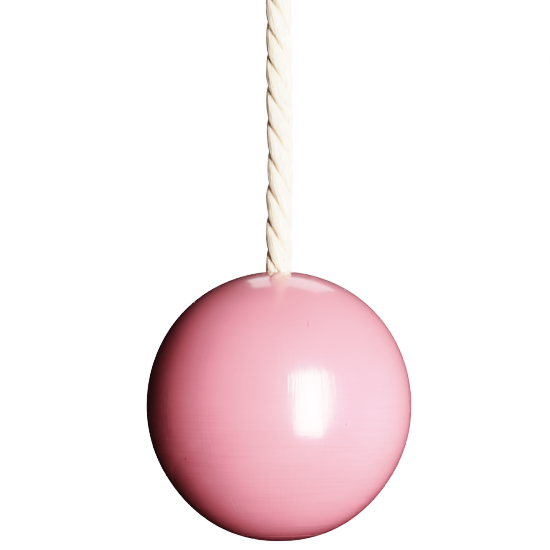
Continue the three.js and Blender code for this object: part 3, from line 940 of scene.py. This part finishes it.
def add_swivel():
    """The ring and its shank, headed over inside the snap."""
    wire = 2.3 * MM
    low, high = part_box("swivel_eye")
    ring_radius = (high.y - low.y) / 2 - wire
    ring_middle = RING_Z + ring_radius
    collar_top = -55.3 * MM
    angles = np.linspace(0, 2 * np.pi, 132, endpoint=False)
    section = np.linspace(0, 2 * np.pi, 36, endpoint=False)
    reach = ring_radius + wire * np.cos(section)[None]
    points = np.stack([
        np.repeat(wire * np.sin(section)[None], len(angles), 0),
        reach * np.cos(angles)[:, None],
        ring_middle + reach * np.sin(angles)[:, None],
    ], 2)
    shell = Shell()
    shell.grid(points, wrap_rows=True)
    stem = rounded([
        (0, collar_top - 4 * MM), (2 * MM, collar_top - 4 * MM), (3.9 * MM, collar_top - 1.7 * MM),
        (3.9 * MM, collar_top), (2.2 * MM, collar_top), (2.2 * MM, -50.3 * MM), (3.4 * MM, -50.3 * MM),
        (3.4 * MM, -49.7 * MM), (2 * MM, high.z), (0, high.z),
    ], 0.4 * MM)
    turned(shell, stem, 72)
    eye = fused(shell, "swivel", NICKEL, 0.2 * MM, 6)
    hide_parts("swivel_eye")
    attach(eye, "swivel")
    return eye


def add_thimble(line):
    """Bent sheet that lines the inside of the eye. Its wings narrow to round points at both ends."""
    inner, outer = 4.15 * MM, 5.5 * MM
    end_z = EYE_Z - 27.5 * MM
    stretch, along = evenly(line[line[:, 2] > end_z], 0.6 * MM)
    from_end = np.minimum(along, along[-1] - along)
    wing = np.clip(from_end / (9 * MM), 0, 1) ** 0.5
    sections = []
    for share in wing:
        lip = math.radians(72 - 56 * share)
        sections.append(groove_section(inner, outer, lip))
    shell = Shell()
    swept(shell, np.array(sections), stretch)
    thimble = shell.make("eye_thimble", ZINC)
    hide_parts("thimble")
    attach(thimble, "eye")
    return thimble


def groove_section(inner, outer, lip):
    """A half-round groove of sheet that opens away from the eye's middle, with round lips."""
    # Along the rope's line the first normal points towards the inside of the eye.
    arc = np.linspace(-np.pi / 2 + lip, np.pi / 2 - lip, 25)
    middle, half = (inner + outer) / 2, (outer - inner) / 2
    outside = [(outer * math.cos(t), outer * math.sin(t)) for t in arc]
    inside = [(inner * math.cos(t), inner * math.sin(t)) for t in arc[::-1]]
    end, first = arc[-1], []
    for turn in (math.pi * k / 6 for k in range(1, 6)):
        first.append((middle * math.cos(end) + half * math.cos(end + turn),
                      middle * math.sin(end) + half * math.sin(end + turn)))
    last = [(x, -y) for x, y in reversed(first)]
    return outside + first + inside + last


def dress_washer():
    """The washer keeps its own shape."""
    washer = frame["nodes"]["knot_washer"]
    washer.data.materials.clear()
    washer.data.materials.append(ZINC)


# ---- Stage and light ----

WHITE = 1  # the light that shows as pure white


def add_stage():
    """A pale round floor below the ball that fades into the white behind it."""
    height, radius = -0.45, 0.95
    shell = Shell()
    rings = np.linspace(0, radius, 40)
    turned(shell, [(r, height) for r in rings], 96)
    paper = Material("paper", Roughness=0.9)
    middle = {0: paper.place(), 1: (0, 0, height)}
    away = paper.node("VectorMath", middle, output="Value", operation="DISTANCE")
    tone = paper.noise(paper.place(), 90, 3)
    paper.link("Base Color", paper.mixed(tone, (0.80, 0.79, 0.78, 1), (0.84, 0.83, 0.82, 1)))
    glow = paper.node("Emission", {"Color": (1, 1, 1, 1), "Strength": WHITE})
    seen = paper.node("LightPath", output="Is Camera Ray")
    share = paper.math("MULTIPLY", paper.spread(away, 0.25, radius * 0.8, 0, 1, smooth=True), seen)
    both = paper.node("MixShader", {0: share, 1: paper.shader.outputs[0], 2: glow})
    output = next(node for node in paper.tree.nodes if node.type == "OUTPUT_MATERIAL")
    paper.tree.links.new(both, output.inputs["Surface"])
    floor = shell.make("floor", paper.data)
    floor.visible_diffuse = False
    floor.visible_glossy = False


def add_world():
    """White behind the object, and a dim room all round it: even for soft light, darker low on the left in
    reflections."""
    world = bpy.data.worlds.new("studio")
    bpy.context.scene.world = world
    world.use_nodes = True
    tree = world.node_tree
    tree.nodes.clear()
    white, soft, mirrored = (tree.nodes.new("ShaderNodeBackground") for _ in range(3))
    white.inputs["Color"].default_value = (1, 1, 1, 1)
    white.inputs["Strength"].default_value = WHITE
    soft.inputs["Color"].default_value = (1, 0.95, 0.91, 1)
    soft.inputs["Strength"].default_value = 0.06
    where, towards = tree.nodes.new("ShaderNodeTexCoord"), tree.nodes.new("ShaderNodeVectorMath")
    towards.operation = "DOT_PRODUCT"
    towards.inputs[1].default_value = Vector((0.6, -0.3, 0.75)).normalized()
    level = tree.nodes.new("ShaderNodeMapRange")
    for name, value in {"From Min": -0.3, "From Max": 1, "To Min": 0.005, "To Max": 0.12}.items():
        level.inputs[name].default_value = value
    tree.links.new(where.outputs["Generated"], towards.inputs[0])
    tree.links.new(towards.outputs["Value"], level.inputs["Value"])
    tree.links.new(level.outputs["Result"], mirrored.inputs["Strength"])
    seen = tree.nodes.new("ShaderNodeLightPath")
    by_ray, by_eye = (tree.nodes.new("ShaderNodeMixShader") for _ in range(2))
    output = tree.nodes.new("ShaderNodeOutputWorld")
    tree.links.new(seen.outputs["Is Glossy Ray"], by_ray.inputs[0])
    tree.links.new(soft.outputs[0], by_ray.inputs[1])
    tree.links.new(mirrored.outputs[0], by_ray.inputs[2])
    tree.links.new(seen.outputs["Is Camera Ray"], by_eye.inputs[0])
    tree.links.new(by_ray.outputs[0], by_eye.inputs[1])
    tree.links.new(white.outputs[0], by_eye.inputs[2])
    tree.links.new(by_eye.outputs[0], output.inputs["Surface"])


def add_softbox(name, azimuth, elevation, distance, size, power):
    """A rectangular light that faces the ball. Azimuth is counted to the right from the viewer's side."""
    turn, rise = math.radians(azimuth), math.radians(elevation)
    direction = Vector((math.sin(turn) * math.cos(rise), -math.cos(turn) * math.cos(rise), math.sin(rise)))
    light = bpy.data.lights.new(name, "AREA")
    light.shape = "RECTANGLE"
    light.size, light.size_y = size
    light.energy = power
    lamp = bpy.data.objects.new(name, light)
    lamp.location = Vector(BALL_CENTRE) + direction * distance
    lamp.rotation_euler = direction.to_track_quat("Z", "Y").to_euler()
    lamp.visible_camera = False
    bpy.context.scene.collection.objects.link(lamp)
    return lamp


def add_lights():
    """A tall soft box to the right of the camera, mirrored in the ball's front, and a dim one high behind it,
    mirrored in its top. Three broad ones, from the right, from below and from behind, aren't mirrored."""
    add_softbox("key", 26.8, 3.1, 0.9, (0.36, 0.78), 9.8)
    add_softbox("back", 174.5, 46, 0.9, (0.43, 0.34), 0.28)
    broad = [
        add_softbox("side", 106, -8, 1.2, (0.9, 1.2), 9),
        add_softbox("bounce", 5, -60, 0.9, (0.8, 0.8), 1.6),
        add_softbox("behind", 180, 0, 1.2, (0.5, 1), 6),
    ]
    for lamp in broad:
        lamp.visible_glossy = False


def add_fill_cards(pieces):
    """Three dim cards behind and to the left, which only the metal fittings see."""
    metalwork = bpy.data.collections.new("metalwork")
    for piece in pieces:
        metalwork.objects.link(piece)
    for azimuth, elevation, power in ((-75, 20, 2), (-140, 10, 1.6), (140, 15, 1.6)):
        card = add_softbox(f"card {azimuth}", azimuth, elevation, 1.1, (1.1, 1.3), power)
        card.light_linking.receiver_collection = metalwork


def set_film():
    """A film's response: deep shadows, a steep middle and a long soft shoulder up to white."""
    settings = bpy.context.scene.view_settings
    settings.view_transform = "Standard"
    settings.use_curve_mapping = True
    curve = settings.curve_mapping.curves[3]
    response = [
        (0.015, 0.010), (0.035, 0.055), (0.075, 0.20), (0.14, 0.44),
        (0.225, 0.63), (0.35, 0.84), (0.5, 0.905), (0.75, 0.965),
    ]
    for point in response:
        curve.points.new(*point)
    settings.curve_mapping.update()


# ---- The whole ----

add_camera()
rope_piece, rope_line = add_rope()
thimble_piece = add_thimble(rope_line)
seizing_piece = add_seizing()
tail_whipping_piece = add_whipping("tail_whip", "tail_whipping", "eye", 31)
add_knot()
add_whipping("knot_whip", "knot_whipping", "line", 32)
add_ball()
add_plug()
fittings = [thimble_piece, add_snap(), add_bolt(), add_stud(), add_spring(), add_swivel()]
dress_washer()
add_stage()
add_world()
add_lights()
add_fill_cards(fittings)
set_film()
